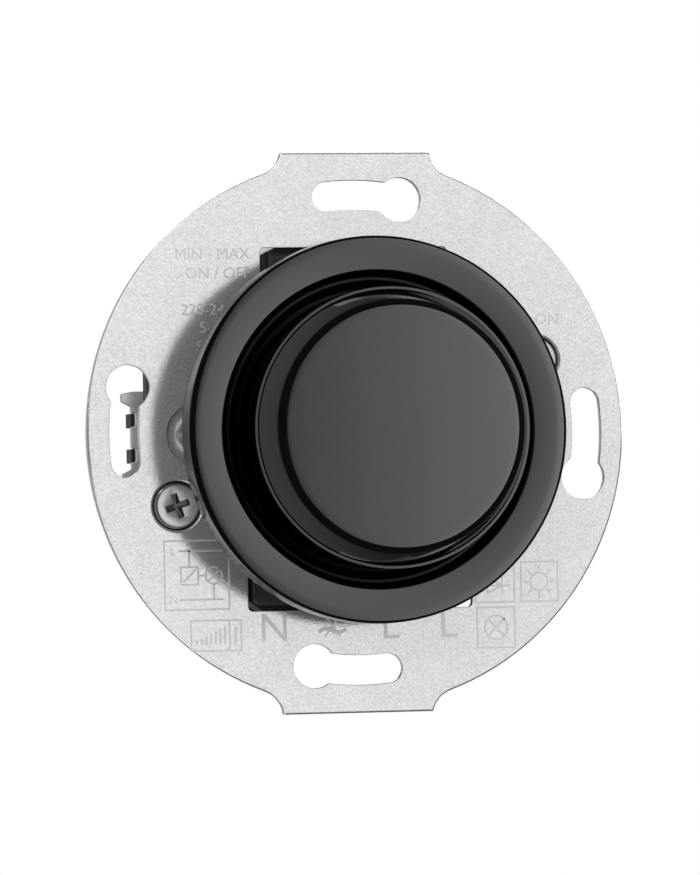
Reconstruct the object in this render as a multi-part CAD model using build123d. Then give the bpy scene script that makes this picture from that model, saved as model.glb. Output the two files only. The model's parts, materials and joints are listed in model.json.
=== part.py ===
from build123d import *
import os

# Flush-mounted rotary dimmer insert for a round wall box.
# Sizes are in millimetres. Every piece is drawn as seen from the front: x to the right, y up, z towards
# the user, with z = 0 on the rear face of the mounting plate. The last step turns the drawing upright,
# so that z points up the wall and the knob faces -y.

# Fits
running_fit = 0.05
slide_fit = 0.1
seat_fit = 0.2
part_gap = 0.3
pass_gap = 0.35
window_gap = 0.4

# Mounting plate, stamped from sheet steel
box_screw_radius = 30.0
plate_rim = 4.75
plate_thickness = 1.0
plate_edge_break = 0.2
tab_half_width = 9.65
tab_offset = 0.55
tab_rise = 0.65
tab_fillet = 3.5
slot_width = 3.75
slot_end_angle = 6.45
keyhole_radius = 2.8
keyhole_angle = 11.7
top_window_half_width = 12.1
top_window_low = 15.0
top_window_high = 23.4
bottom_window_half_width = 14.5
bottom_window_low = -22.3
bottom_window_high = -12.8
window_corner = 0.6

# Plate screws, at both sides of the turret
plate_screw_radius = 1.45
plate_screw_length = 8.0
plate_screw_head_radius = 2.8
plate_screw_head_height = 1.7
plate_screw_head_round = 0.85
plate_screw_slot_width = 0.8
plate_screw_slot_depth = 0.8
plate_recess_radius = 4.0
plate_recess_depth = 0.5

# Spreading claws and their screws
claw_screw_x = 23.4
claw_screw_y = 8.9
claw_screw_radius = 1.5
claw_screw_length = 21.0
claw_screw_head_radius = 2.6
claw_screw_head_rise = 0.4
claw_screw_flange_radius = 2.85
claw_screw_flange_thickness = 0.6
claw_screw_gap = 0.25
cross_width = 0.8
cross_length = 3.1
cross_depth = 1.1
cross_turn = 18.0
claw_thickness = 1.2
claw_bend = 0.6
claw_hole_gap = 0.3
claw_tab_depth = 19.0
claw_tab_half_height = 3.4
claw_tab_reach = 2.5
claw_arm_offset = 2.2
claw_foot_offset = 0.9
claw_lip_depth = 7.5
claw_lip_reach = 1.7
claw_lip_half_height = 5.85
claw_tip_reach = 1.2
claw_tip_height = 1.95
claw_tip_high_slope = 0.25
claw_tip_low_slope = 0.65
claw_tip_round = 0.35
claw_notch_pitch = 4.5
claw_notch_width = 1.8
claw_notch_depth = 0.65
claw_notch_round = 0.35
claw_window_half_height = 4.6
claw_window_high_depth = 9.9
claw_window_low_depth = 15.5

# Knob
knob_radius = 17.45
knob_height = 14.0
knob_shoulder_height = 9.05
knob_taper_width = 1.85
knob_face_round = 1.1
knob_dome_rise = 0.35
knob_wall = 2.2
knob_edge_round = 0.3
knob_hub_radius = 5.6
knob_rib_thickness = 1.2
knob_rib_height = 4.0
knob_bore_end_gap = 0.25
clip_thickness = 0.4
clip_width = 3.6
clip_corner = 0.6

# Turret, disc around the knob and what clamps it
turret_height = 6.35
turret_radius = 9.0
turret_wall = 2.0
knob_disc_gap = 0.95
disc_funnel_width = 1.3
disc_ring_width = 4.55
disc_floor_thickness = 2.0
disc_face_rise = 3.75
disc_rim_height = 4.4
disc_wall = 2.0
disc_rim_round = 0.9
disc_rim_low_round = 0.45
disc_ring_round = 0.5
disc_foot_round = 0.4
washer_radius = 8.2
washer_thickness = 0.6
nut_across_flats = 13.0
nut_thickness = 2.4
nut_chamfer = 0.5
thread_reach = 1.0

# Shaft and bushing
shaft_radius = 3.0
shaft_engagement = 6.4
shaft_flat = 1.5
shaft_tail_radius = 2.6
shaft_tail_flat = 1.9
shaft_tip_chamfer = 0.4
bushing_radius = 5.0
bushing_flange_thickness = 1.5
collar_radius = 4.4
collar_thickness = 1.0
push_travel = 1.5

# Housing
housing_radius = 25.5
bay_corner_share = 0.445
claw_bay_gap = 3.7
claw_bay_side_gap = 1.1
deck_thickness = 2.4
deck_margin = 1.1
ear_past_screw = 3.4
ear_half_height = 3.3
guide_ear_low = 4.5
guide_ear_high = 9.5
boss_radius = 2.9
boss_wall_gap = 0.5
boss_depth = 8.0
nose_past_arm = 0.3
nose_nib_reach = 0.8
nose_side_gap = 0.5
nose_end_gap = 1.2
nose_stem_gap = 1.2
nose_chamfer = 0.5
lug_gap = 1.0
lug_below_front = 0.2
lug_chamfer = 0.6
skirt_depth = 2.6
skirt_thickness = 1.4
catch_angles = (55.0, 90.0, 125.0)
catch_width = 6.0
catch_height = 1.2
catch_drop = 0.8
catch_inset = 0.3
catch_lead = 0.7
base_length = 24.1
base_wall = 1.6
base_edge_share = 0.6
base_groove_count = 5
base_groove_width = 1.0
base_groove_depth = 0.8
base_groove_pitch = 5.0
base_groove_length = 18.0
shelf_thickness = 1.5

# Terminals
terminal_pitch = 7.5
terminal_count = 4
block_shoulder = 0.5
block_low = -24.8
block_depth = 12.5
block_below_front = 0.3
block_chamfer = 0.4
channel_size = 5.0
channel_depth = 4.6
channel_end_wall = 0.6
well_radius = 2.4
clamp_gap = 0.15
clamp_length = 5.2
clamp_wire_width = 3.2
clamp_wall = 1.0
terminal_screw_radius = 1.5
terminal_screw_head_radius = 2.1
terminal_screw_head_height = 2.0
terminal_screw_length = 3.4
terminal_slot_width = 0.7
terminal_slot_depth = 0.8

# Potentiometer, board and push switch
pot_size = 17.0
pot_depth = 6.6
pot_corner = 1.0
pot_front_wall = 1.6
pot_cavity_radius = 7.2
rotor_gap = 0.4
rotor_hub_radius = 4.4
rotor_rim_thickness = 1.5
rotor_thickness = 2.7
track_thickness = 1.4
board_thickness = 1.6
board_edge_gap = 0.4
board_block_gap = 0.5
post_radius = 1.8
post_skirt_offset = 1.5
post_high_y = 11.5
post_low_y = -9.5
shaft_past_board = 0.9
switch_size = 12.4
switch_depth = 10.4
switch_floor = 1.4
plunger_radius = 4.0
plunger_length = 3.0
plunger_stem_radius = 1.6
plunger_stem_length = 3.0
spring_radius = 2.8
spring_wire_radius = 0.3
spring_turns = 4.0

# Parts soldered to the rear of the board
choke_x = -7.2
choke_radius = 4.4
choke_hole_radius = 2.2
choke_height = 4.6
winding_thickness = 0.7
winding_gap = 0.1
winding_sweep = 320.0
film_x = 7.0
film_length = 13.0
film_width = 6.0
film_height = 11.0
film_round = 0.8
can_x = 7.5
can_radius = 2.5
can_height = 11.0
can_round = 0.4
can_groove_offset = 0.8
can_groove_depth = 0.3
can_groove_width = 0.8
transistor_count = 2
transistor_width = 8.2
transistor_gap = 0.5
transistor_thickness = 4.5
transistor_height = 10.4
transistor_chamfer = 1.1
transistor_low_y = -9.6
pad_thickness = 0.3
heat_sink_wall_gap = 0.5
heat_sink_thickness = 1.5
heat_sink_height = 11.4
fuse_wall_gap = 1.3
fuse_length = 19.6
fuse_radius = 2.6
fuse_glass_radius = 2.2
fuse_cap_length = 5.2
fuse_clip_width = 6.6
fuse_clip_length = 4.0
fuse_clip_floor = 0.6
chip_width = 10.0
chip_length = 3.9
chip_height = 1.6
chip_chamfer = 0.4
chip_y = 11.6

# Places across the front that follow from the sizes above
plate_radius = box_screw_radius + plate_rim
tab_reach = plate_radius + tab_rise
knob_face_radius = knob_radius - knob_taper_width
disc_foot_radius = knob_radius + knob_disc_gap
disc_ring_inner_radius = disc_foot_radius + disc_funnel_width
disc_radius = disc_ring_inner_radius + disc_ring_width
bushing_flange_radius = turret_radius - turret_wall - seat_fit
rotor_radius = pot_cavity_radius - rotor_gap
claw_tab_inner_x = claw_screw_x - claw_tab_reach
claw_arm_x = claw_screw_x + claw_arm_offset
claw_arm_inner_x = claw_arm_x - claw_thickness
claw_foot_x = claw_screw_x + claw_foot_offset
claw_lip_x = claw_arm_x + claw_lip_reach
claw_tip_x = claw_lip_x + claw_tip_reach
claw_bay_x = claw_tab_inner_x - claw_bay_gap
claw_bay_half_height = claw_screw_y + claw_tab_half_height + claw_bay_side_gap
plate_screw_x = claw_bay_x + boss_wall_gap + boss_radius
deck_half_width = plate_screw_x + boss_radius + deck_margin
ear_reach = claw_screw_x + ear_past_screw
skirt_gap = base_wall + seat_fit
bay_inner_x = claw_bay_x - base_wall
post_x = bay_inner_x - seat_fit - skirt_thickness - post_skirt_offset
heat_sink_x = bay_inner_x - heat_sink_wall_gap
fuse_x = fuse_clip_width / 2 + fuse_wall_gap - bay_inner_x
block_half_width = bottom_window_half_width + block_shoulder
block_high = bottom_window_high - window_gap
terminal_y = block_high - channel_end_wall - clamp_length / 2
board_low = block_high + board_block_gap
fuse_mid_y = block_high + base_wall + part_gap + fuse_length / 2
winding_radius = choke_radius + winding_gap + winding_thickness
choke_y = fuse_mid_y + fuse_length / 2 + part_gap + winding_radius
transistor_step = transistor_width + transistor_gap
transistor_high_y = transistor_low_y + transistor_count * transistor_step - transistor_gap
film_y = transistor_high_y + part_gap + film_width / 2
can_y = film_y + film_width / 2 + part_gap + can_radius

# Heights that follow from the sizes above
turret_front_z = plate_thickness + turret_height
turret_inner_z = turret_front_z - turret_wall
disc_floor_z = turret_front_z + disc_floor_thickness
disc_face_z = disc_floor_z + disc_face_rise
disc_rim_low_z = disc_face_z - disc_rim_height
washer_top_z = disc_floor_z + washer_thickness
nut_top_z = washer_top_z + nut_thickness
bushing_top_z = nut_top_z + thread_reach
bushing_low_z = turret_inner_z - bushing_flange_thickness
collar_top_z = bushing_low_z - running_fit
collar_low_z = collar_top_z - collar_thickness
knob_low_z = disc_floor_z + push_travel + pass_gap
knob_face_z = knob_low_z + knob_height
knob_shoulder_z = knob_low_z + knob_shoulder_height
hub_low_z = bushing_top_z + push_travel + pass_gap
shaft_top_z = hub_low_z + shaft_engagement
deck_low_z = -deck_thickness
catch_high_z = deck_low_z - catch_drop
catch_low_z = catch_high_z - catch_height
base_low_z = deck_low_z - base_length
board_front_z = deck_low_z - pot_depth
board_rear_z = board_front_z - board_thickness
shaft_low_z = board_rear_z - shaft_past_board
plunger_low_z = shaft_low_z - plunger_length
switch_low_z = board_rear_z - switch_depth
switch_floor_z = switch_low_z + switch_floor
block_low_z = -block_depth
channel_top_z = -channel_depth
channel_low_z = channel_top_z - channel_size
clamp_top_z = channel_top_z - clamp_gap
clamp_low_z = channel_low_z + clamp_gap
far = 4 * plate_radius


def spread(count, pitch):
    """Positions in a row, evenly spaced about zero."""
    return [(i - (count - 1) / 2) * pitch for i in range(count)]


terminal_xs = spread(terminal_count, terminal_pitch)


def rod(radius, low, high, x=0.0, y=0.0):
    """A cylinder along z between two heights."""
    return Pos(x, y, low) * Cylinder(radius, high - low, align=(Align.CENTER, Align.CENTER, Align.MIN))


def slab(x_range, y_range, z_range):
    """A box given by its limits."""
    size = [limits[1] - limits[0] for limits in (x_range, y_range, z_range)]
    return Pos(x_range[0], y_range[0], z_range[0]) * Box(*size, align=(Align.MIN, Align.MIN, Align.MIN))


def prism(outline, low, high):
    """A flat outline pulled up between two heights."""
    return extrude(Pos(0, 0, low) * outline, high - low, dir=(0, 0, 1))


def rounded(profile, rounds):
    """A flat profile with a round at each named corner."""
    for corner, radius in rounds:
        profile = fillet(profile.vertices().sort_by_distance((*corner, 0))[0], radius)
    return profile


def turned(profile):
    """A profile of radius and height, revolved about the z axis."""
    return revolve(Plane.XZ * profile, Axis.Z)


def area(x_range, y_range):
    """A rectangle given by its limits."""
    size = (x_range[1] - x_range[0], y_range[1] - y_range[0])
    return Pos(x_range[0], y_range[0]) * Rectangle(*size, align=(Align.MIN, Align.MIN))


def both_sides(shape):
    """A shape and its copy turned half way round the knob axis."""
    return shape + Rot(0, 0, 180) * shape


def mounting_plate():
    tab_sides = (tab_offset - tab_half_width, tab_offset + tab_half_width)
    outline = Circle(plate_radius) + both_sides(area(tab_sides, (0, tab_reach + tab_fillet)))
    inner_corners = [v for v in outline.vertices() if abs(v.Y) < plate_radius]
    outline = fillet(inner_corners, tab_fillet) & area((-far, far), (-tab_reach, tab_reach))
    plate = prism(outline, 0, plate_thickness)
    rim = plate.faces().sort_by(Axis.Z)[-1].outer_wire().edges()
    plate = chamfer(rim, plate_edge_break)

    slot_sweep = keyhole_angle + slot_end_angle
    slot_line = CenterArc((0, 0), box_screw_radius, 90 - keyhole_angle, slot_sweep)
    keyhole_centre = slot_line @ 0
    keyhole = SlotArc(slot_line, slot_width)
    keyhole += Pos(keyhole_centre.X, keyhole_centre.Y) * Circle(keyhole_radius)
    cuts = Circle(turret_radius + seat_fit)
    for quarter in range(4):
        cuts += Rot(0, 0, 90 * quarter) * keyhole
    top_window = area((-top_window_half_width, top_window_half_width), (top_window_low, top_window_high))
    bottom_window = area(
        (-bottom_window_half_width, bottom_window_half_width), (bottom_window_low, bottom_window_high)
    )
    for window in (top_window, bottom_window):
        cuts += fillet(window.vertices(), window_corner)
    claw_hole = Pos(-claw_screw_x, -claw_screw_y) * Circle(claw_screw_flange_radius + claw_screw_gap)
    plate_hole = Pos(-plate_screw_x, 0) * Circle(plate_screw_radius + seat_fit)
    cuts += both_sides(claw_hole + plate_hole)
    plate -= prism(cuts, 0, plate_thickness)
    recess = rod(plate_recess_radius, plate_thickness - plate_recess_depth, plate_thickness, -plate_screw_x)
    return plate - both_sides(recess)


def center_disc():
    bore = bushing_radius + seat_fit
    under_ring_z = disc_face_z - disc_wall
    rim_inner = disc_radius - disc_wall
    funnel_under = disc_foot_radius - disc_wall
    corners = [
        (bore, turret_front_z),
        (funnel_under, turret_front_z),
        (disc_ring_inner_radius - disc_wall / 2, under_ring_z),
        (rim_inner, under_ring_z),
        (rim_inner, disc_rim_low_z),
        (disc_radius, disc_rim_low_z),
        (disc_radius, disc_face_z),
        (disc_ring_inner_radius, disc_face_z),
        (disc_foot_radius, disc_floor_z),
        (bore, disc_floor_z),
    ]
    rounds = [
        ((disc_radius, disc_face_z), disc_rim_round),
        ((disc_ring_inner_radius, disc_face_z), disc_ring_round),
        ((disc_foot_radius, disc_floor_z), disc_foot_round),
        ((disc_radius, disc_rim_low_z), disc_rim_low_round),
    ]
    return turned(rounded(Polygon(*corners, align=None), rounds))


def flatted_bar(radius, flat, low, high):
    """A round bar with a flat on its +x side."""
    return rod(radius, low, high) & slab((-far, flat), (-far, far), (low, high))


def knob():
    roof_z = knob_face_z - knob_wall
    cup_radius = knob_radius - knob_wall
    taper = (knob_radius - knob_face_radius) / (knob_face_z - knob_shoulder_z)
    roof_radius = knob_radius - knob_wall - taper * (roof_z - knob_shoulder_z)
    walls = Polyline(
        (0, knob_face_z + knob_dome_rise),
        (0, hub_low_z),
        (knob_hub_radius, hub_low_z),
        (knob_hub_radius, roof_z),
        (roof_radius, roof_z),
        (cup_radius, knob_shoulder_z),
        (cup_radius, knob_low_z),
        (knob_radius, knob_low_z),
        (knob_radius, knob_shoulder_z),
        (knob_face_radius, knob_face_z),
    )
    crown = TangentArc(walls @ 0, walls @ 1, tangent=(1, 0))
    rounds = [
        ((knob_face_radius, knob_face_z), knob_face_round),
        ((knob_radius, knob_shoulder_z), knob_edge_round),
        ((knob_radius, knob_low_z), knob_edge_round),
    ]
    body = turned(rounded(make_face(walls.edges() + crown.edges()), rounds))
    rib = slab((-cup_radius, cup_radius), (-knob_rib_thickness / 2, knob_rib_thickness / 2),
               (roof_z - knob_rib_height, roof_z))
    ribs = rib + Rot(0, 0, 90) * rib
    body += ribs & rod(cup_radius + knob_wall / 2, knob_low_z, knob_shoulder_z)
    bore_top_z = shaft_top_z + knob_bore_end_gap
    bore_flat = shaft_flat + clip_thickness + running_fit
    return body - flatted_bar(shaft_radius + running_fit, bore_flat, hub_low_z, bore_top_z)


def knob_clip():
    leaf = slab((shaft_flat, shaft_flat + clip_thickness), (-clip_width / 2, clip_width / 2),
                (hub_low_z, shaft_top_z))
    edges = leaf.edges().filter_by(Axis.X)
    return fillet(edges, clip_corner)


def control_shaft():
    shaft = flatted_bar(shaft_radius, shaft_flat, hub_low_z, shaft_top_z)
    shaft += rod(shaft_radius, collar_low_z, hub_low_z)
    shaft += rod(collar_radius, collar_low_z, collar_top_z)
    tail = rod(shaft_tail_radius, shaft_low_z, collar_low_z)
    shaft += tail & slab((-shaft_tail_flat, shaft_tail_flat), (-far, far), (shaft_low_z, collar_low_z))
    tip = shaft.faces().sort_by(Axis.Z)[-1].edges()
    return chamfer(tip, shaft_tip_chamfer)


def threaded_bushing():
    bushing = rod(bushing_radius, bushing_low_z, bushing_top_z)
    bushing += rod(bushing_flange_radius, bushing_low_z, turret_inner_z)
    return bushing - rod(shaft_radius + running_fit, bushing_low_z, bushing_top_z)


def disc_washer():
    washer = rod(washer_radius, disc_floor_z, washer_top_z)
    return washer - rod(bushing_radius + slide_fit, disc_floor_z, washer_top_z)


def disc_nut():
    hexagon = RegularPolygon(nut_across_flats / 2, 6, major_radius=False)
    nut = prism(hexagon, washer_top_z, nut_top_z)
    corner_radius = hexagon.vertices()[0].center().length
    crown = rod(corner_radius, washer_top_z, nut_top_z)
    crown = chamfer(crown.faces().sort_by(Axis.Z)[-1].edges(), nut_chamfer)
    return (nut & crown) - rod(bushing_radius + running_fit, washer_top_z, nut_top_z)


def pan_screw(x, y, head, shank):
    """A screw from (head radius, top, seat) and (shank radius, tip)."""
    head_radius, top, seat = head
    shank_radius, tip = shank
    return rod(head_radius, seat, top, x, y) + rod(shank_radius, tip, seat, x, y)


def plate_screws():
    seat = plate_thickness - plate_recess_depth
    top = seat + plate_screw_head_height
    screw = pan_screw(-plate_screw_x, 0, (plate_screw_head_radius, top, seat),
                      (plate_screw_radius, seat - plate_screw_length))
    rim = screw.faces().sort_by(Axis.Z)[-1].edges()
    screw = fillet(rim, plate_screw_head_round)
    slot = Box(far, plate_screw_slot_width, 2 * plate_screw_slot_depth)
    screw -= Pos(-plate_screw_x, 0, top) * slot
    return both_sides(screw)


def left_claw_screw():
    top = plate_thickness + claw_screw_head_rise
    screw = pan_screw(-claw_screw_x, -claw_screw_y, (claw_screw_head_radius, top, 0),
                      (claw_screw_radius, -claw_screw_length))
    screw += rod(claw_screw_flange_radius, 0, claw_screw_flange_thickness, -claw_screw_x, -claw_screw_y)
    bar = Box(cross_length, cross_width, 2 * cross_depth)
    cross = Pos(-claw_screw_x, -claw_screw_y, top) * Rot(0, 0, cross_turn) * (bar + Rot(0, 0, 90) * bar)
    return screw - cross


def left_claw():
    tab_low = -claw_tab_depth - claw_thickness / 2
    tab_high = tab_low + claw_thickness
    lip_high = -claw_lip_depth
    lip_low = lip_high - claw_thickness
    foot_inner_x = claw_foot_x - claw_thickness
    outer_bend = claw_bend + claw_thickness
    section = Polygon(
        (-claw_tab_inner_x, tab_low),
        (-claw_foot_x, tab_low),
        (-claw_arm_x, lip_low),
        (-claw_tip_x, lip_low),
        (-claw_tip_x, lip_high),
        (-claw_arm_inner_x, lip_high),
        (-foot_inner_x, tab_high),
        (-claw_tab_inner_x, tab_high),
        align=None,
    )
    section = rounded(section, [
        ((-claw_foot_x, tab_low), outer_bend),
        ((-foot_inner_x, tab_high), claw_bend),
        ((-claw_arm_inner_x, lip_high), outer_bend),
        ((-claw_arm_x, lip_low), claw_bend),
    ])
    high_y = claw_lip_half_height
    claw = Pos(0, -high_y, 0) * extrude(Plane.XZ * section, 2 * high_y, dir=(0, 1, 0))

    root_y = high_y - claw_tip_height
    tip_high_y = high_y - claw_tip_high_slope
    tip_low_y = root_y + claw_tip_low_slope
    teeth = Polygon(
        (0, high_y),
        (-claw_lip_x, high_y),
        (-claw_tip_x, tip_high_y),
        (-claw_tip_x, tip_low_y),
        (-claw_lip_x, root_y),
        (-claw_lip_x, -root_y),
        (-claw_tip_x, -tip_low_y),
        (-claw_tip_x, -tip_high_y),
        (-claw_lip_x, -high_y),
        (0, -high_y),
        align=None,
    )
    corner_heights = (tip_high_y, tip_low_y, -tip_low_y, -tip_high_y)
    teeth = rounded(teeth, [((-claw_tip_x, y), claw_tip_round) for y in corner_heights])
    notch = RectangleRounded(2 * claw_notch_depth, claw_notch_width, claw_notch_round)
    for y in spread(2, claw_notch_pitch):
        teeth -= Pos(-claw_lip_x, y) * notch
    claw = claw & prism(teeth, tab_low, 0)
    claw -= slab((-far, 0), (-claw_window_half_height, claw_window_half_height),
                 (-claw_window_low_depth, -claw_window_high_depth))

    tab_y = (-claw_screw_y - claw_tab_half_height, -claw_screw_y + claw_tab_half_height)
    claw += slab((-claw_arm_x, -claw_tab_inner_x), tab_y, (tab_low, tab_high))
    return claw - rod(claw_screw_radius + claw_hole_gap, tab_low, tab_high, -claw_screw_x, -claw_screw_y)


def housing_outline(shrink=0.0):
    """The barrel-shaped outline of the housing with a bay for a claw at each side."""
    outline = Circle(housing_radius - shrink)
    bay_half = claw_bay_half_height + shrink
    bay = area((claw_bay_x - shrink, far), (-bay_half, bay_half))
    return outline - both_sides(bay)


def terminal_area(gap):
    """The part of the housing that the terminal block fills, with a gap around it."""
    half = block_half_width + gap
    return area((-half, half), (-far, block_high + gap))


def catch_bars(gap, reach):
    """Bars at the catch places, from the middle of the skirt out to a given radius."""
    inner = housing_radius - skirt_gap - skirt_thickness / 2
    half = catch_width / 2 + gap
    bar = slab((inner, reach), (-half, half), (catch_low_z - gap, catch_high_z + gap))
    return [(bar, Rot(0, 0, angle)) for angle in catch_angles]


def claw_nose():
    """A nose on the left claw bay that reaches through the claw's window and keeps the claw in place."""
    half = claw_window_half_height - nose_side_gap
    high_z = -claw_window_high_depth - nose_end_gap
    low_z = -claw_window_low_depth + nose_end_gap
    stem_x = claw_arm_inner_x - nose_stem_gap
    nose = slab((-claw_arm_x - nose_past_arm, -stem_x), (-half, half), (low_z, high_z))
    tip_edges = nose.faces().sort_by(Axis.X)[0].edges().filter_by(Axis.Z)
    nose = chamfer(tip_edges, nose_chamfer)
    nib_x = claw_arm_x + nose_past_arm + nose_nib_reach
    for y in spread(2, claw_notch_pitch):
        nose += slab((-nib_x, -stem_x), (y - claw_notch_width / 2, y + claw_notch_width / 2), (low_z, high_z))
    return nose + slab((-stem_x, -plate_screw_x), (-half, half), (low_z, deck_low_z))


def housing_front():
    deck_outline = Circle(housing_radius) & Rectangle(2 * deck_half_width, 2 * housing_radius)
    screw_ear = area((-ear_reach, 0), (-claw_screw_y - ear_half_height, -claw_screw_y + ear_half_height))
    guide_ear = area((-ear_reach, 0), (guide_ear_low, guide_ear_high))
    deck_outline += both_sides(screw_ear + guide_ear)
    deck_outline -= terminal_area(seat_fit)
    front = prism(deck_outline, deck_low_z, 0)
    front += rod(turret_radius, deck_low_z, turret_front_z)

    lug_half = top_window_half_width - lug_gap
    lug_top_z = plate_thickness - lug_below_front
    lug = slab((-lug_half, lug_half), (top_window_low + window_gap, top_window_high - window_gap),
               (0, lug_top_z))
    lug = chamfer(lug.faces().sort_by(Axis.Z)[-1].edges(), lug_chamfer)
    front += lug & rod(housing_radius, 0, lug_top_z)

    skirt = housing_outline(skirt_gap) - housing_outline(skirt_gap + skirt_thickness)
    skirt -= terminal_area(seat_fit + skirt_thickness)
    front += prism(skirt, deck_low_z - skirt_depth, deck_low_z)
    for bar, turn in catch_bars(0, housing_radius - catch_inset):
        lead_edge = bar.edges().filter_by(Axis.Y).sort_by(Axis.X)[-2:].sort_by(Axis.Z)[0]
        front += turn * chamfer(lead_edge, catch_lead)
    front += both_sides(rod(boss_radius, -boss_depth, deck_low_z, -plate_screw_x) + claw_nose())
    for y in (post_low_y, post_high_y):
        for side in (-1, 1):
            front += rod(post_radius, board_front_z, deck_low_z, side * post_x, y)

    front -= rod(turret_radius - turret_wall, deck_low_z, turret_inner_z)
    front -= rod(bushing_radius + slide_fit, turret_inner_z, turret_front_z)
    screw_hole = rod(claw_screw_radius + slide_fit, deck_low_z, 0, -claw_screw_x, -claw_screw_y)
    plate_hole = rod(plate_screw_radius + running_fit, -boss_depth, 0, -plate_screw_x)
    return front - both_sides(screw_hole + plate_hole)


def housing_base():
    outline = housing_outline()
    bay_mouths = outline.vertices().sort_by_distance((0, 0, 0))[-4:]
    mouth_round = bay_corner_share * (abs(bay_mouths[0].X) - claw_bay_x)
    shell = prism(fillet(bay_mouths, mouth_round), base_low_z, deck_low_z)
    rear_edge = shell.faces().sort_by(Axis.Z)[0].outer_wire()
    shell = chamfer(rear_edge.edges(), base_edge_share * mouth_round)
    shell -= prism(housing_outline(base_wall), base_low_z + base_wall, deck_low_z)
    shelf_z = block_low_z - seat_fit
    shelf = terminal_area(base_wall) & housing_outline(base_wall / 2)
    shell += prism(shelf, shelf_z - shelf_thickness, shelf_z)
    shell -= prism(terminal_area(seat_fit), shelf_z, deck_low_z)
    for bar, turn in catch_bars(seat_fit, far):
        shell -= turn * bar
    for x in spread(base_groove_count, base_groove_pitch):
        shell -= slab((x - base_groove_width / 2, x + base_groove_width / 2),
                      (-base_groove_length / 2, base_groove_length / 2),
                      (base_low_z, base_low_z + base_groove_depth))
    return shell


def terminal_block():
    outline = area((-block_half_width, block_half_width), (block_low, block_high)) & Circle(housing_radius)
    block = prism(outline, block_low_z, 0)
    tower_half = bottom_window_half_width - window_gap
    tower_top_z = plate_thickness - block_below_front
    tower_outline = area((-tower_half, tower_half), (bottom_window_low + window_gap, block_high))
    tower = prism(tower_outline & Circle(housing_radius), 0, tower_top_z)
    block += chamfer(tower.faces().sort_by(Axis.Z)[-1].edges(), block_chamfer)
    for x in terminal_xs:
        block -= slab((x - channel_size / 2, x + channel_size / 2), (-far, block_high),
                      (channel_low_z, channel_top_z))
        block -= rod(well_radius, channel_top_z, tower_top_z, x, terminal_y)
    return block


def terminal_clamps():
    half = channel_size / 2 - clamp_gap
    y_range = (terminal_y - clamp_length / 2, terminal_y + clamp_length / 2)
    clamps = []
    for x in terminal_xs:
        cage = slab((x - half, x + half), y_range, (clamp_low_z, clamp_top_z))
        cage -= slab((x - clamp_wire_width / 2, x + clamp_wire_width / 2), y_range,
                     (clamp_low_z + clamp_wall, clamp_top_z - clamp_wall))
        cage -= rod(terminal_screw_radius + running_fit, clamp_top_z - clamp_wall, clamp_top_z, x, terminal_y)
        clamps.append(cage)
    return Compound(clamps)


def terminal_screws():
    screws = []
    for x in terminal_xs:
        top = clamp_top_z + terminal_screw_head_height
        screw = pan_screw(x, terminal_y, (terminal_screw_head_radius, top, clamp_top_z),
                          (terminal_screw_radius, clamp_top_z - terminal_screw_length))
        slot = Box(far, terminal_slot_width, 2 * terminal_slot_depth)
        screws.append(screw - Pos(x, terminal_y, top) * slot)
    return Compound(screws)


def potentiometer_case():
    case = prism(RectangleRounded(pot_size, pot_size, pot_corner), board_front_z, deck_low_z)
    case -= rod(pot_cavity_radius, board_front_z, deck_low_z - pot_front_wall)
    return case - rod(shaft_radius + seat_fit, board_front_z, deck_low_z)


def resistor_disc():
    track = rod(pot_cavity_radius - slide_fit, board_front_z, board_front_z + track_thickness)
    return track - rod(shaft_radius + seat_fit, board_front_z, board_front_z + track_thickness)


def wiper_rotor():
    top = deck_low_z - pot_front_wall - seat_fit
    rotor = rod(rotor_hub_radius, top - rotor_thickness, top)
    rotor += rod(rotor_radius, top - rotor_rim_thickness, top)
    tail = rod(shaft_tail_radius + slide_fit, top - rotor_thickness, top)
    flat = shaft_tail_flat + slide_fit
    return rotor - (tail & slab((-flat, flat), (-far, far), (top - rotor_thickness, top)))


def circuit_board():
    outline = housing_outline(base_wall + board_edge_gap) & area((-far, far), (board_low, far))
    board = prism(outline, board_rear_z, board_front_z)
    return board - rod(shaft_radius + pass_gap, board_rear_z, board_front_z)


def switch_body():
    case = prism(RectangleRounded(switch_size, switch_size, pot_corner), switch_low_z, board_rear_z)
    return case - rod(plunger_radius + slide_fit, switch_floor_z, board_rear_z)


def push_plunger():
    plunger = rod(plunger_radius, plunger_low_z, shaft_low_z)
    return plunger + rod(plunger_stem_radius, plunger_low_z - plunger_stem_length, plunger_low_z)


def return_spring():
    low = switch_floor_z + spring_wire_radius + running_fit
    high = plunger_low_z - spring_wire_radius - running_fit
    coil = Pos(0, 0, low) * Helix((high - low) / spring_turns, high - low, spring_radius)
    wire = Plane(coil @ 0, z_dir=coil % 0) * Circle(spring_wire_radius)
    return sweep(wire, coil, is_frenet=True)


def choke_core():
    high = board_rear_z - winding_thickness - winding_gap
    core = rod(choke_radius, high - choke_height, high, choke_x, choke_y)
    return core - rod(choke_hole_radius, high - choke_height, high, choke_x, choke_y)


def choke_winding():
    high = board_rear_z - winding_thickness - winding_gap
    middle = (choke_radius + choke_hole_radius) / 2
    inner_size = (choke_radius - choke_hole_radius + 2 * winding_gap, choke_height + 2 * winding_gap)
    outer_size = [size + 2 * winding_thickness for size in inner_size]
    section = Rectangle(*outer_size) - Rectangle(*inner_size)
    section = Plane.XZ * Pos(middle, high - choke_height / 2) * section
    return Pos(choke_x, choke_y, 0) * revolve(section, Axis.Z, winding_sweep)


def film_capacitor():
    box = slab((film_x - film_length / 2, film_x + film_length / 2),
               (film_y - film_width / 2, film_y + film_width / 2), (board_rear_z - film_height, board_rear_z))
    return fillet(box.faces().sort_by(Axis.Z)[0].edges(), film_round)


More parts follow.
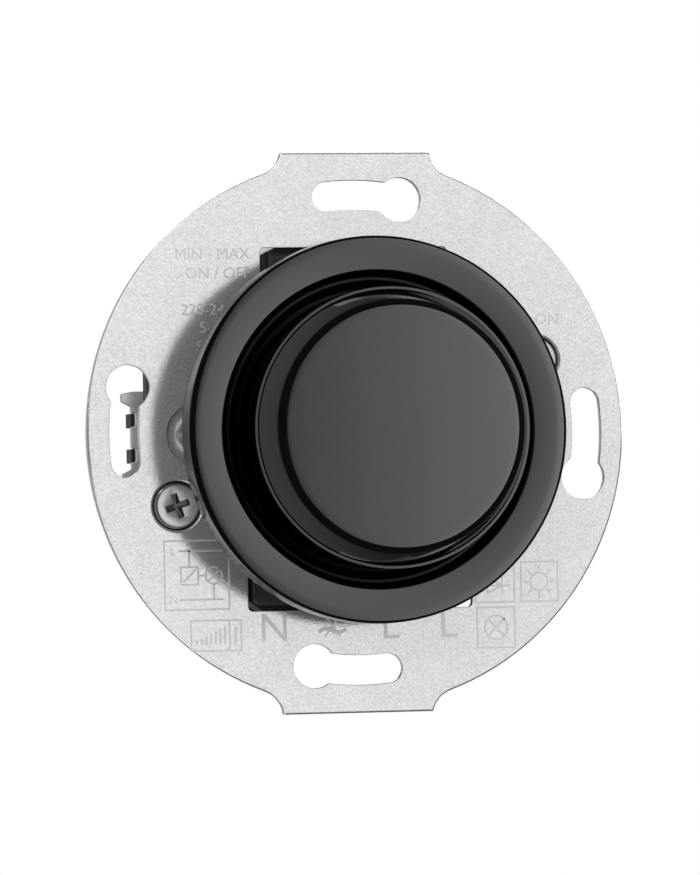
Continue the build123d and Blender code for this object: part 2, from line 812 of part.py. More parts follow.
def electrolytic_capacitor():
    can = rod(can_radius, board_rear_z - can_height, board_rear_z, can_x, can_y)
    can = fillet(can.faces().sort_by(Axis.Z)[0].edges(), can_round)
    groove_z = board_rear_z - can_groove_offset - can_groove_width
    groove = rod(can_radius, groove_z, groove_z + can_groove_width, can_x, can_y)
    groove -= rod(can_radius - can_groove_depth, groove_z, groove_z + can_groove_width, can_x, can_y)
    return can - groove


def transistor_rows():
    lows = [transistor_low_y + i * transistor_step for i in range(transistor_count)]
    return [(low, low + transistor_width) for low in lows]


def power_transistors():
    high_x = heat_sink_x - heat_sink_thickness - pad_thickness
    cases = []
    for y_range in transistor_rows():
        case = slab((high_x - transistor_thickness, high_x), y_range,
                    (board_rear_z - transistor_height, board_rear_z))
        front_edge = case.edges().filter_by(Axis.Y).sort_by(Axis.X)[:2].sort_by(Axis.Z)[0]
        cases.append(chamfer(front_edge, transistor_chamfer))
    return Compound(cases)


def insulating_pad():
    rows = transistor_rows()
    high_x = heat_sink_x - heat_sink_thickness
    return slab((high_x - pad_thickness, high_x), (rows[0][0], rows[-1][1]),
                (board_rear_z - transistor_height, board_rear_z))


def heat_sink():
    rows = transistor_rows()
    return slab((heat_sink_x - heat_sink_thickness, heat_sink_x), (rows[0][0], rows[-1][1]),
                (board_rear_z - heat_sink_height, board_rear_z))


def along_y(radius, low_y, high_y, x, z):
    """A cylinder along y."""
    bar = Cylinder(radius, high_y - low_y, align=(Align.CENTER, Align.CENTER, Align.MIN))
    return Pos(x, low_y, z) * Rot(-90, 0, 0) * bar


def fuse():
    z = board_rear_z - fuse_clip_floor - running_fit - fuse_radius
    low_y = fuse_mid_y - fuse_length / 2
    high_y = fuse_mid_y + fuse_length / 2
    link = along_y(fuse_glass_radius, low_y, high_y, fuse_x, z)
    link += along_y(fuse_radius, low_y, low_y + fuse_cap_length, fuse_x, z)
    return link + along_y(fuse_radius, high_y - fuse_cap_length, high_y, fuse_x, z)


def fuse_clips():
    z = board_rear_z - fuse_clip_floor - running_fit - fuse_radius
    clips = []
    for side in (-1, 1):
        y = fuse_mid_y + side * (fuse_length - fuse_cap_length) / 2
        y_range = (y - fuse_clip_length / 2, y + fuse_clip_length / 2)
        clip = slab((fuse_x - fuse_clip_width / 2, fuse_x + fuse_clip_width / 2), y_range, (z, board_rear_z))
        clip -= along_y(fuse_radius + running_fit, *y_range, fuse_x, z)
        clips.append(clip)
    return Compound(clips)


def control_chip():
    chip = slab((-chip_width / 2, chip_width / 2), (chip_y - chip_length / 2, chip_y + chip_length / 2),
                (board_front_z, board_front_z + chip_height))
    return chamfer(chip.faces().sort_by(Axis.Z)[-1].edges(), chip_chamfer)


pieces = {
    "mounting_plate": mounting_plate(),
    "center_disc": center_disc(),
    "knob": knob(),
    "knob_clip": knob_clip(),
    "control_shaft": control_shaft(),
    "threaded_bushing": threaded_bushing(),
    "disc_washer": disc_washer(),
    "disc_nut": disc_nut(),
    "plate_screws": plate_screws(),
    "left_claw_screw": left_claw_screw(),
    "right_claw_screw": Rot(0, 0, 180) * left_claw_screw(),
    "left_claw": left_claw(),
    "right_claw": Rot(0, 0, 180) * left_claw(),
    "housing_front": housing_front(),
    "housing_base": housing_base(),
    "terminal_block": terminal_block(),
    "terminal_clamps": terminal_clamps(),
    "terminal_screws": terminal_screws(),
    "potentiometer_case": potentiometer_case(),
    "resistor_disc": resistor_disc(),
    "wiper_rotor": wiper_rotor(),
    "circuit_board": circuit_board(),
    "switch_body": switch_body(),
    "push_plunger": push_plunger(),
    "return_spring": return_spring(),
    "choke_core": choke_core(),
    "choke_winding": choke_winding(),
    "film_capacitor": film_capacitor(),
    "electrolytic_capacitor": electrolytic_capacitor(),
    "power_transistors": power_transistors(),
    "insulating_pad": insulating_pad(),
    "heat_sink": heat_sink(),
    "fuse": fuse(),
    "fuse_clips": fuse_clips(),
    "control_chip": control_chip(),
}

os.makedirs("parts", exist_ok=True)
for name, piece in pieces.items():
    export_step(Rot(90, 0, 0) * piece, f"parts/{name}.step")
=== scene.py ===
# %% [markdown]
# # Rotary dimmer insert
# A flush-mounted dimmer: a zinc-plated steel plate with keyhole slots, a polished black disc and knob in
# front of it, and a black housing with spreading claws behind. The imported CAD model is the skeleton. Each
# cell below dresses one piece of it, in metres and in the same frame: x to the right, z up the wall, and
# the user at -y. No piece has to be fitted, because the CAD model says where everything is.

# %% Load the frame
import json
import math

import bmesh
import bpy
from mathutils import Matrix, Vector


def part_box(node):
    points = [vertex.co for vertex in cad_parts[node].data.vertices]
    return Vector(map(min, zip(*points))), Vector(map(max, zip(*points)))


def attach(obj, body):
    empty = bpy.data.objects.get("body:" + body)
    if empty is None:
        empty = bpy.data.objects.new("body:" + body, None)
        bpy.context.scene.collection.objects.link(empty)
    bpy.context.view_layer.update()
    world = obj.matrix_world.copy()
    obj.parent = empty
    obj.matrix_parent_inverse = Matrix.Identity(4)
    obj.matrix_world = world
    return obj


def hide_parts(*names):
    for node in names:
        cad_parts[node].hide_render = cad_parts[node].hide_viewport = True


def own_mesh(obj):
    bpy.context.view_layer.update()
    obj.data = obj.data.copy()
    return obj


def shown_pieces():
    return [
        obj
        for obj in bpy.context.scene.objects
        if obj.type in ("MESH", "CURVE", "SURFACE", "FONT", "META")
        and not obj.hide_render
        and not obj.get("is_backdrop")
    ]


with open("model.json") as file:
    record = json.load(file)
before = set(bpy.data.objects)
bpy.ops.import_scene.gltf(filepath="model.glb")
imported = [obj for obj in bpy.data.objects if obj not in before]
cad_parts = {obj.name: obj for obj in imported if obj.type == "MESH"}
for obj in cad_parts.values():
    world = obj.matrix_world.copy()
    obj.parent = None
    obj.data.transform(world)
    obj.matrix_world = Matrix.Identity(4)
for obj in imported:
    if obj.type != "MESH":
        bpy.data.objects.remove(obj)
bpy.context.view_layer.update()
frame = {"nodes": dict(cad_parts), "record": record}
nodes = frame["nodes"]
MM = 0.001
PLATE_FRONT = -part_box("mounting_plate")[0].y / MM


# %% [markdown]
# ## Camera
# A camera can be placed by eye or worked out from known points. The four slots of the real plate lie on a
# 60 mm circle, so their places in the picture give the camera's turn, distance and focal length by least
# squares. It stands a little to the left of the plate's normal, far away, with a long lens. The picture is
# taller than it is wide, so the sensor's size counts along its height.

# %% Camera from the solved view
VIEW_YAW, VIEW_PITCH, VIEW_ROLL = (math.radians(angle) for angle in (13.30, -1.53, 1.23))
VIEW_SHIFT = Vector((0.909, 0.658, 0.0))
VIEW_DISTANCE = 828.0
PIXELS_PER_MM = 7.9214
PICTURE_HEIGHT = 875
SENSOR = 36.0
NEAREST, FARTHEST = 0.01, 20.0

plate_to_frame = Matrix(((1, 0, 0), (0, 0, -1), (0, 1, 0)))
view_turn = (Matrix.Rotation(VIEW_ROLL, 3, "Z") @ Matrix.Rotation(VIEW_PITCH, 3, "X")
             @ Matrix.Rotation(VIEW_YAW, 3, "Y"))
eye = view_turn.transposed() @ (Vector((0, 0, VIEW_DISTANCE)) - VIEW_SHIFT)
camera_data = bpy.data.cameras.new("photo_camera")
camera_data.sensor_width = SENSOR
camera_data.lens = PIXELS_PER_MM * VIEW_DISTANCE / PICTURE_HEIGHT * SENSOR
camera_data.clip_start, camera_data.clip_end = NEAREST, FARTHEST
camera = bpy.data.objects.new("photo_camera", camera_data)
camera.matrix_world = (Matrix.Translation((plate_to_frame @ eye - Vector((0, PLATE_FRONT, 0))) * MM)
                       @ (plate_to_frame @ view_turn.transposed()).to_4x4())
bpy.context.collection.objects.link(camera)
bpy.context.scene.camera = camera
print("camera at", [round(c, 3) for c in camera.matrix_world.translation], "lens", round(camera_data.lens, 1))

# %% [markdown]
# ## Small helpers
# Every new piece ends as a mesh object at the origin, with its place in its vertices, so that patterns and
# the export line up. `finish_piece` makes that object, lets it ride on a CAD body and names its finish.
# `plate_point` turns plate coordinates (right, up, height above the plate's front) into the shared frame,
# and `front_height` reads such a height back from a corner of a CAD node's box.

# %% Helpers for finished pieces
materials = {}


def plate_point(x, y, height=0.0):
    return Vector((x, -(height + PLATE_FRONT), y)) * MM


def front_height(point):
    return -point.y / MM - PLATE_FRONT


def finish_piece(name, bm, body, slot, replaced=(), smooth_angle=None, material=None):
    mesh = bpy.data.meshes.new(name)
    bm.to_mesh(mesh)
    bm.free()
    if smooth_angle is not None:
        mesh.shade_smooth()
        mesh.set_sharp_from_angle(angle=math.radians(smooth_angle))
    mesh.materials.append(materials[material or slot])
    piece = bpy.data.objects.new(name, mesh)
    bpy.context.collection.objects.link(piece)
    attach(piece, body)
    if replaced:
        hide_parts(*replaced)
    print(name, len(mesh.polygons), "faces")
    return piece


# %% [markdown]
# ## Shared surface effects
# Three effects come back in many finishes, so each is a node group that is built once: a sandy grain for
# plated sheet and castings, fine rings for turned parts, and the spark-eroded skin of moulded plastic. A
# group gives out only masks and heights. The shader itself stays in each material.

# %% Node helpers
PER_MM = 1 / MM


def new_group(name, inputs, outputs):
    group = bpy.data.node_groups.new(name, "ShaderNodeTree")
    for label, value in inputs.items():
        socket = group.interface.new_socket(label, in_out="INPUT", socket_type="NodeSocketFloat")
        socket.default_value = value
    for label in outputs:
        group.interface.new_socket(label, in_out="OUTPUT", socket_type="NodeSocketFloat")
    return group, group.nodes.new("NodeGroupInput"), group.nodes.new("NodeGroupOutput")


def add_node(tree, kind, links=(), **settings):
    node = tree.nodes.new(kind)
    for key, value in settings.items():
        setattr(node, key, value)
    for socket, source in dict(links).items():
        if hasattr(source, "is_output"):
            tree.links.new(source, node.inputs[socket])
        else:
            node.inputs[socket].default_value = source
    return node


def add_math(tree, operation, first, second=0.0):
    return add_node(tree, "ShaderNodeMath", {0: first, 1: second}, operation=operation).outputs[0]


def map_range(tree, value, source=(0.0, 1.0), target=(0.0, 1.0), **settings):
    links = {"Value": value, "From Min": source[0], "From Max": source[1],
             "To Min": target[0], "To Max": target[1]}
    return add_node(tree, "ShaderNodeMapRange", links, **settings).outputs[0]


def object_coordinates(tree):
    return tree.nodes.new("ShaderNodeTexCoord").outputs["Object"]


# %% [markdown]
# Rolled and plated sheet shows a fine grain, and cloudy patches at a larger scale. Two noise textures of
# different size give both. Object coordinates are metres, so a count per millimetre is multiplied by 1000.

# %% Group: sandy grain
PATCH_SHARE = 0.12
grain_group, entry, leave = new_group(
    "sandy_grain", {"Grain per mm": 3.0, "Patches per mm": 0.15}, ["Height", "Patches", "Speckle"])
place = object_coordinates(grain_group)
fine_scale = add_math(grain_group, "MULTIPLY", entry.outputs["Grain per mm"], PER_MM)
patch_scale = add_math(grain_group, "MULTIPLY", entry.outputs["Patches per mm"], PER_MM)
fine = add_node(grain_group, "ShaderNodeTexNoise",
                {"Vector": place, "Scale": fine_scale, "Detail": 2.0, "Roughness": 0.6})
patches = add_node(grain_group, "ShaderNodeTexNoise",
                   {"Vector": place, "Scale": patch_scale, "Detail": 3.0, "Roughness": 0.5})
speckle = add_node(grain_group, "ShaderNodeMix",
                   {"Factor": PATCH_SHARE, "A": fine.outputs["Fac"], "B": patches.outputs["Fac"]})
grain_group.links.new(fine.outputs["Fac"], leave.inputs["Height"])
grain_group.links.new(patches.outputs["Fac"], leave.inputs["Patches"])
grain_group.links.new(speckle.outputs["Result"], leave.inputs["Speckle"])
print("group", grain_group.name)

# %% [markdown]
# A cutting tool leaves fine rings on a turned shaft. A wave texture could draw them. A sine of the distance
# from the knob axis does the same, and that distance is also what the disc's finish needs later.

# %% Group: turning marks
rings_group, entry, leave = new_group("turning_marks", {"Rings per mm": 6.0}, ["Height", "Radius"])
flat = add_node(rings_group, "ShaderNodeVectorMath",
                {0: object_coordinates(rings_group), 1: (1.0, 0.0, 1.0)}, operation="MULTIPLY").outputs[0]
radius = add_node(rings_group, "ShaderNodeVectorMath", {0: flat}, operation="LENGTH").outputs["Value"]
turns = add_math(rings_group, "MULTIPLY", radius, 2 * math.pi * PER_MM)
waves = add_math(rings_group, "SINE", add_math(rings_group, "MULTIPLY", turns, entry.outputs["Rings per mm"]))
rings_group.links.new(waves, leave.inputs["Height"])
rings_group.links.new(radius, leave.inputs["Radius"])
print("group", rings_group.name)

# %% [markdown]
# Plastic copies the skin of its mould: tiny pits from spark erosion, and broad marks where the melt flowed.
# Both are noise again, and a little distortion bends the flow marks.

# %% Group: moulded skin
skin_group, entry, leave = new_group(
    "moulded_skin", {"Texture per mm": 8.0, "Flow per mm": 0.08}, ["Height", "Flow"])
place = object_coordinates(skin_group)
pit_scale = add_math(skin_group, "MULTIPLY", entry.outputs["Texture per mm"], PER_MM)
flow_scale = add_math(skin_group, "MULTIPLY", entry.outputs["Flow per mm"], PER_MM)
pits = add_node(skin_group, "ShaderNodeTexNoise", {"Vector": place, "Scale": pit_scale, "Detail": 1.0})
flow = add_node(skin_group, "ShaderNodeTexNoise",
                {"Vector": place, "Scale": flow_scale, "Detail": 2.0, "Distortion": 0.6})
skin_group.links.new(pits.outputs["Fac"], leave.inputs["Height"])
skin_group.links.new(flow.outputs["Fac"], leave.inputs["Flow"])
print("group", skin_group.name)

# %% [markdown]
# ## Finishes
# A finish is a Principled shader whose colour, roughness and normal are fed by the groups. `make_finish`
# does the wiring: a mask blends two close colours, moves the roughness a little, and a height gives a bump
# whose depth is in real millimetres. Plain numbers, such as a metal's metallic value, sit on the shader.

# %% Finish maker
MASK_SPAN = (0.3, 0.7)


def colour(grey_or_rgb):
    rgb = grey_or_rgb if isinstance(grey_or_rgb, tuple) else (grey_or_rgb,) * 3
    return (*rgb, 1.0)


def make_finish(name, group, values, mask, shades, roughness, bump=0.0, metallic=0.0):
    material = bpy.data.materials.new(name)
    material.use_nodes = True
    tree = material.node_tree
    shader = tree.nodes["Principled BSDF"]
    effect = add_node(tree, "ShaderNodeGroup", node_tree=group)
    for label, value in values.items():
        effect.inputs[label].default_value = value
    spread = map_range(tree, effect.outputs[mask], source=MASK_SPAN)
    blend = add_node(tree, "ShaderNodeMix", {"Factor": spread}, data_type="RGBA")
    blend.inputs["A"].default_value, blend.inputs["B"].default_value = colour(shades[0]), colour(shades[1])
    tree.links.new(blend.outputs["Result"], shader.inputs["Base Color"])
    tree.links.new(map_range(tree, spread, target=roughness), shader.inputs["Roughness"])
    if bump:
        relief = add_node(tree, "ShaderNodeBump",
                          {"Height": effect.outputs["Height"], "Strength": 1.0, "Distance": bump * MM})
        tree.links.new(relief.outputs[0], shader.inputs["Normal"])
    shader.inputs["Metallic"].default_value = metallic
    materials[name] = material
    return material


# %% [markdown]
# The plate's zinc is bright and nearly a mirror, with a speckle that breaks the mirror up. The screws and
# claws are plain plated steel, duller than the plate. The recess of a screw head gets a much darker steel
# that paints in the shade falling into it. The marks on the plate are zinc that a laser has made matt.

# %% Metals
make_finish("zinc_sheet", grain_group, {"Grain per mm": 4.6, "Patches per mm": 0.25}, "Speckle",
            (0.66, 0.98), (0.14, 0.05), bump=0.009, metallic=0.62)
make_finish("plate_mark", grain_group, {"Grain per mm": 6.0, "Patches per mm": 0.4}, "Patches",
            (0.75, 0.83), (0.36, 0.42), bump=0.002, metallic=0.55)
make_finish("screw_steel", grain_group, {"Grain per mm": 5.0, "Patches per mm": 0.5}, "Patches",
            (0.74, 0.82), (0.38, 0.46), bump=0.003, metallic=1.0)
# Painted shade: a much darker copy of the screw steel for the faces inside the cross recess
make_finish("painted_shade_steel", grain_group, {"Grain per mm": 5.0, "Patches per mm": 0.5}, "Patches",
            (0.20, 0.26), (0.40, 0.50), bump=0.003, metallic=1.0)
make_finish("claw_steel", grain_group, {"Grain per mm": 4.0, "Patches per mm": 0.3}, "Patches",
            (0.78, 0.90), (0.30, 0.42), bump=0.006, metallic=1.0)
make_finish("spring_steel", grain_group, {"Grain per mm": 6.0, "Patches per mm": 1.0}, "Patches",
            (0.40, 0.50), (0.22, 0.30), bump=0.002, metallic=1.0)
make_finish("aluminium_sheet", grain_group, {"Grain per mm": 4.0, "Patches per mm": 0.2}, "Patches",
            (0.66, 0.74), (0.30, 0.40), bump=0.003, metallic=1.0)
make_finish("shaft_metal", rings_group, {"Rings per mm": 4.0}, "Height",
            (0.70, 0.80), (0.18, 0.26), bump=0.004, metallic=1.0)
make_finish("brass", grain_group, {"Grain per mm": 5.0, "Patches per mm": 0.4}, "Patches",
            ((0.62, 0.44, 0.17), (0.76, 0.58, 0.27)), (0.22, 0.34), bump=0.003, metallic=1.0)
make_finish("copper", rings_group, {"Rings per mm": 1.2}, "Height",
            ((0.50, 0.20, 0.08), (0.72, 0.34, 0.16)), (0.25, 0.35), bump=0.05, metallic=1.0)
print("metals", len(materials))

# %% [markdown]
# The knob and disc are polished black, with a bump of less than a thousandth of a millimetre. The housing
# is a satin black with visible pits. Inside are the usual colours of small components: a yellow ferrite
# ring, a dark can, a brown resistor track and a green board.

# %% Plastics, ferrite and laminates
make_finish("black_gloss", skin_group, {"Texture per mm": 0.9, "Flow per mm": 0.05}, "Flow",
            (0.006, 0.009), (0.05, 0.07), bump=0.00025)
make_finish("black_moulding", skin_group, {"Texture per mm": 9.0, "Flow per mm": 0.15}, "Flow",
            (0.013, 0.020), (0.40, 0.52), bump=0.008)
make_finish("grey_moulding", skin_group, {"Texture per mm": 8.0, "Flow per mm": 0.2}, "Flow",
            ((0.26, 0.27, 0.28), (0.33, 0.34, 0.35)), (0.45, 0.55), bump=0.006)
make_finish("white_moulding", skin_group, {"Texture per mm": 8.0, "Flow per mm": 0.2}, "Flow",
            ((0.74, 0.73, 0.69), (0.82, 0.81, 0.77)), (0.40, 0.50), bump=0.005)
make_finish("silicone", skin_group, {"Texture per mm": 5.0, "Flow per mm": 0.3}, "Flow",
            ((0.45, 0.47, 0.47), (0.53, 0.55, 0.55)), (0.55, 0.65), bump=0.006)
make_finish("ferrite", grain_group, {"Grain per mm": 6.0, "Patches per mm": 0.5}, "Patches",
            ((0.56, 0.44, 0.06), (0.66, 0.54, 0.10)), (0.40, 0.52), bump=0.008)
make_finish("capacitor_can", skin_group, {"Texture per mm": 4.0, "Flow per mm": 0.3}, "Flow",
            ((0.02, 0.02, 0.05), (0.04, 0.04, 0.08)), (0.25, 0.35), bump=0.003)
make_finish("track_laminate", rings_group, {"Rings per mm": 0.4}, "Height",
            ((0.05, 0.04, 0.035), (0.20, 0.11, 0.05)), (0.40, 0.55), bump=0.004)
make_finish("board_laminate", grain_group, {"Grain per mm": 3.0, "Patches per mm": 0.35}, "Patches",
            ((0.015, 0.12, 0.05), (0.04, 0.22, 0.09)), (0.30, 0.40), bump=0.006)
print("finishes", len(materials))

# %% [markdown]
# ### The fuse
# A fine-wire fuse is a glass tube between two plated caps. Its CAD solid is one piece, so one material has
# to show both: a mask along the fuse's length tells cap from tube, and makes only the caps metal.

# %% Finish of the fuse
fuse_low, fuse_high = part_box("fuse")
fuse_middle = (fuse_low.z + fuse_high.z) / 2
FUSE_TUBE_HALF = 4.6 * MM
fuse_material = make_finish("fuse_glass", grain_group, {"Grain per mm": 4.0, "Patches per mm": 0.4},
                            "Patches", (0.70, 0.80), (0.12, 0.2))
tree = fuse_material.node_tree
along = add_node(tree, "ShaderNodeSeparateXYZ", {0: object_coordinates(tree)}).outputs["Z"]
off_middle = add_math(tree, "ABSOLUTE", add_math(tree, "SUBTRACT", along, fuse_middle))
on_cap = add_math(tree, "GREATER_THAN", off_middle, FUSE_TUBE_HALF)
tree.links.new(on_cap, tree.nodes["Principled BSDF"].inputs["Metallic"])
print("fuse middle at z", round(fuse_middle, 4))

# %% [markdown]
# ### The dished disc
# The disc is polished only where it is seen from afar. The dish around the knob is left matt, so that no
# light ring shines out of the gap, and the wall of the rim is a little duller than the ring. The distance
# from the knob axis tells these zones apart. Two materials with a border between them could do the same,
# but the distance gives a soft change.

# %% Finish of the disc
DISH_ZONE, DISH_DULLNESS = (18.9 * MM, 19.4 * MM), 0.5
WALL_ZONE, WALL_DULLNESS = (24.07 * MM, 24.17 * MM), 0.12
disc_material = make_finish("disc_gloss", skin_group, {"Texture per mm": 0.9, "Flow per mm": 0.05}, "Flow",
                            (0.006, 0.009), (0.05, 0.07), bump=0.00025)
tree = disc_material.node_tree
from_axis = add_node(tree, "ShaderNodeGroup", node_tree=rings_group).outputs["Radius"]
in_dish = map_range(tree, from_axis, source=DISH_ZONE, target=(DISH_DULLNESS, 0.0))
on_wall = map_range(tree, from_axis, source=WALL_ZONE, target=(0.0, WALL_DULLNESS))
dullness = add_math(tree, "ADD", in_dish, on_wall)
roughness = tree.nodes["Principled BSDF"].inputs["Roughness"]
tree.links.new(add_math(tree, "ADD", roughness.links[0].from_socket, dullness), roughness)
print("matt within", DISH_ZONE[0], "of the knob axis")

# %% [markdown]
# ### The inner pieces
# Most pieces lie inside the housing. Their CAD mesh is right as it is, so they only get the finish that the
# record's material slot names. The pieces that show are made anew in the cells below.

# %% Dress the CAD nodes
slot_of = {part["node"]: part["material_slot"] for part in frame["record"]["subparts"]}
for node, slot in slot_of.items():
    for material_slot in nodes[node].material_slots:
        material_slot.material = materials[slot]
print("dressed", len(slot_of), "nodes")

# %% [markdown]
# ## Disc and knob
# Both are polished black mouldings from a turned mould, so both are surfaces of revolution. They could
# keep the CAD mesh, but its flat triangles would show in the mirror-like finish. A wire with few corners,
# rounded by vertex bevels and spun about the knob axis, gives a clean surface instead.

# %% Turned pieces from a rounded profile
ROUND_STEPS = 8
TURN_STEPS = 192
SAME_PLACE = 1e-7
GLOSS_SMOOTH = 30


def turned_piece(corners, rounds, closed=True):
    bm = bmesh.new()
    points = [plate_point(radius, 0.0, height) for radius, height in corners]
    verts = [bm.verts.new(point) for point in points]
    for pair in zip(verts, verts[1:]):
        bm.edges.new(pair)
    if closed:
        bm.edges.new((verts[-1], verts[0]))
    for index, size in rounds.items():
        here = points[index]
        turn = (here - points[index - 1]).angle(points[(index + 1) % len(points)] - here)
        bmesh.ops.bevel(bm, geom=[verts[index]], offset=size * MM * math.tan(turn / 2), offset_type="OFFSET",
                        segments=ROUND_STEPS, profile=0.5, affect="VERTICES", material=-1)
    bmesh.ops.spin(bm, geom=bm.verts[:] + bm.edges[:], cent=(0, 0, 0), axis=(0, 1, 0), dvec=(0, 0, 0),
                   angle=2 * math.pi, steps=TURN_STEPS, use_merge=True)
    bmesh.ops.remove_doubles(bm, verts=bm.verts, dist=SAME_PLACE)
    bmesh.ops.recalc_face_normals(bm, faces=bm.faces)
    return bm


# %% [markdown]
# The disc is a shallow funnel with a broad ring round it. The ring sinks a little towards the knob and falls
# off in a large round at the rim, which is why its reflection fades so slowly. The profile goes once round
# the section, and the rounds are listed by the number of their corner.

# %% Dished disc around the knob
disc_front, disc_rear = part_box("center_disc")
DISC_BORE, DISC_RADIUS, DISC_WALL = 5.2, disc_rear.x / MM, 2.0
DISC_LOW, DISC_FACE = front_height(disc_rear), front_height(disc_front)
RIM_DEPTH, RIM_DRAFT, RIM_FALL = 4.4, 0.08, 0.06
DISC_FLOOR, DISC_RIM_LOW = DISC_LOW + DISC_WALL, DISC_FACE - RIM_DEPTH
FUNNEL_FOOT, RING_INNER, RIM_RADIUS = 18.4, 19.7, DISC_RADIUS - RIM_DRAFT
CREST_INSET, RING_DISH = 1.2, 0.09
RIM_LOW_ROUND, RIM_ROUND, CREST_ROUND, RING_ROUND = 0.3, 0.4, 6.5, 0.5
disc_corners = [
    (DISC_BORE, DISC_LOW),
    (FUNNEL_FOOT - DISC_WALL, DISC_LOW),
    (RING_INNER - DISC_WALL / 2, DISC_FACE - DISC_WALL),
    (DISC_RADIUS - DISC_WALL, DISC_FACE - DISC_WALL),
    (DISC_RADIUS - DISC_WALL, DISC_RIM_LOW),
    (DISC_RADIUS, DISC_RIM_LOW),
    (RIM_RADIUS, DISC_FACE - RIM_FALL),
    (RIM_RADIUS - CREST_INSET, DISC_FACE),
    (RING_INNER, DISC_FACE - RING_DISH),
    (FUNNEL_FOOT, DISC_FLOOR),
    (DISC_BORE, DISC_FLOOR),
]
disc_rounds = {5: RIM_LOW_ROUND, 6: RIM_ROUND, 7: CREST_ROUND, 8: RING_ROUND}
disc = finish_piece("black_disc", turned_piece(disc_corners, disc_rounds), "housing", "black_gloss",
                    ["center_disc"], smooth_angle=GLOSS_SMOOTH, material="disc_gloss")
print("disc radius", round(DISC_RADIUS, 2), "face height", round(DISC_FACE, 2))

# %% [markdown]
# The knob is a cup: a straight skirt, a small ledge, a tapered shoulder, and a face that is very slightly
# domed. The dome is what turns the reflection of one softbox into a slow gradient from left to right.
# Inside, a hub takes the shaft. The profile starts at the top of the hub's bore and ends on the face.

# %% Profile of the knob
knob_front, knob_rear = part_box("knob")
KNOB_DOME, KNOB_WALL, KNOB_EDGE_ROUND, KNOB_FACE_ROUND = 0.35, 2.2, 0.3, 1.1
SKIRT_HEIGHT, SHOULDER_REACH, KNOB_LEDGE, LEDGE_ROUND = 9.05, 1.95, 0.32, 0.03
KNOB_LOW, KNOB_FACE = front_height(knob_rear), front_height(knob_front) - KNOB_DOME
KNOB_RADIUS, KNOB_SHOULDER = knob_rear.x / MM, KNOB_LOW + SKIRT_HEIGHT
KNOB_FACE_RADIUS = KNOB_RADIUS - SHOULDER_REACH
HUB_RISE, BORE_RISE = 4.0, 10.65
HUB_RADIUS, HUB_LOW, HUB_BORE, HUB_BORE_TOP = 5.6, KNOB_LOW + HUB_RISE, 3.05, KNOB_LOW + BORE_RISE
ROOF = KNOB_FACE - KNOB_WALL
TAPER = (KNOB_RADIUS - KNOB_FACE_RADIUS) / (KNOB_FACE - KNOB_SHOULDER)
ROOF_RADIUS = KNOB_RADIUS - KNOB_WALL - TAPER * (ROOF - KNOB_SHOULDER)
DOME_RINGS = 10
dome_shares = [1 - step / DOME_RINGS for step in range(DOME_RINGS + 1)]
dome = [(KNOB_FACE_RADIUS * share, KNOB_FACE + KNOB_DOME * (1 - share ** 2)) for share in dome_shares]
knob_corners = [
    (0.0, HUB_BORE_TOP),
    (HUB_BORE, HUB_BORE_TOP),
    (HUB_BORE, HUB_LOW),
    (HUB_RADIUS, HUB_LOW),
    (HUB_RADIUS, ROOF),
    (ROOF_RADIUS, ROOF),
    (KNOB_RADIUS - KNOB_WALL, KNOB_SHOULDER),
    (KNOB_RADIUS - KNOB_WALL, KNOB_LOW),
    (KNOB_RADIUS, KNOB_LOW),
    (KNOB_RADIUS, KNOB_SHOULDER),
    (KNOB_RADIUS - KNOB_LEDGE, KNOB_SHOULDER),
    *dome,
]
print("knob radius", round(KNOB_RADIUS, 2), "face radius", round(KNOB_FACE_RADIUS, 2))

# %% [markdown]
# Four ribs between hub and skirt stiffen the cup. Each is a scaled cube that reaches a little into both
# walls, as moulded ribs do, so no gap can open between them.

# %% Push-and-turn knob with its ribs
knob_rounds = {8: KNOB_EDGE_ROUND, 9: LEDGE_ROUND, 11: KNOB_FACE_ROUND}
knob_mesh = turned_piece(knob_corners, knob_rounds, closed=False)
RIBS, RIB_THICKNESS, RIB_HEIGHT, RIB_OVERLAP = 4, 1.2, 4.0, 0.4
rib_length = KNOB_RADIUS - KNOB_WALL - HUB_RADIUS + 2 * RIB_OVERLAP
rib_middle = plate_point(HUB_RADIUS - RIB_OVERLAP + rib_length / 2, 0, KNOB_SHOULDER - RIB_HEIGHT / 2)
for rib in range(RIBS):
    rib_place = (Matrix.Rotation(rib * 2 * math.pi / RIBS, 4, "Y") @ Matrix.Translation(rib_middle)
                 @ Matrix.Diagonal((rib_length * MM, RIB_HEIGHT * MM, RIB_THICKNESS * MM, 1)))
    bmesh.ops.create_cube(knob_mesh, size=1.0, matrix=rib_place)
knob = finish_piece("black_knob", knob_mesh, "knob", "black_gloss", ["knob"], smooth_angle=GLOSS_SMOOTH)

# %% [markdown]
# ## Stamped, bent and moulded pieces
# These keep the exact CAD shape, but real edges are never knife-sharp: a stamped plate has a burnished
# edge and a moulding has a small radius, and both catch a line of light. So a copy of each CAD mesh is
# merged, its flat triangles are dissolved, and every sharp edge gets a narrow bevel.

# %% Soft-edged copies of CAD nodes
SHARP, FLAT = math.radians(32), math.radians(0.3)
MERGE_DISTANCE = 2e-6
SOFT_STEPS = 2


def merged_copy(node):
    bm = bmesh.new()
    bm.from_mesh(nodes[node].data)
    bmesh.ops.remove_doubles(bm, verts=bm.verts, dist=MERGE_DISTANCE)
    bmesh.ops.dissolve_limit(bm, angle_limit=FLAT, verts=bm.verts, edges=bm.edges)
    return bm


def round_edges(bm, edges, width, steps):
    bmesh.ops.bevel(bm, geom=edges, offset=width * MM, offset_type="OFFSET", segments=steps, profile=0.5,
                    affect="EDGES", clamp_overlap=False, material=-1)


def soften(bm, width):
    sharp = [edge for edge in bm.edges if len(edge.link_faces) == 2 and edge.calc_face_angle() > SHARP]
    round_edges(bm, sharp, width, SOFT_STEPS)


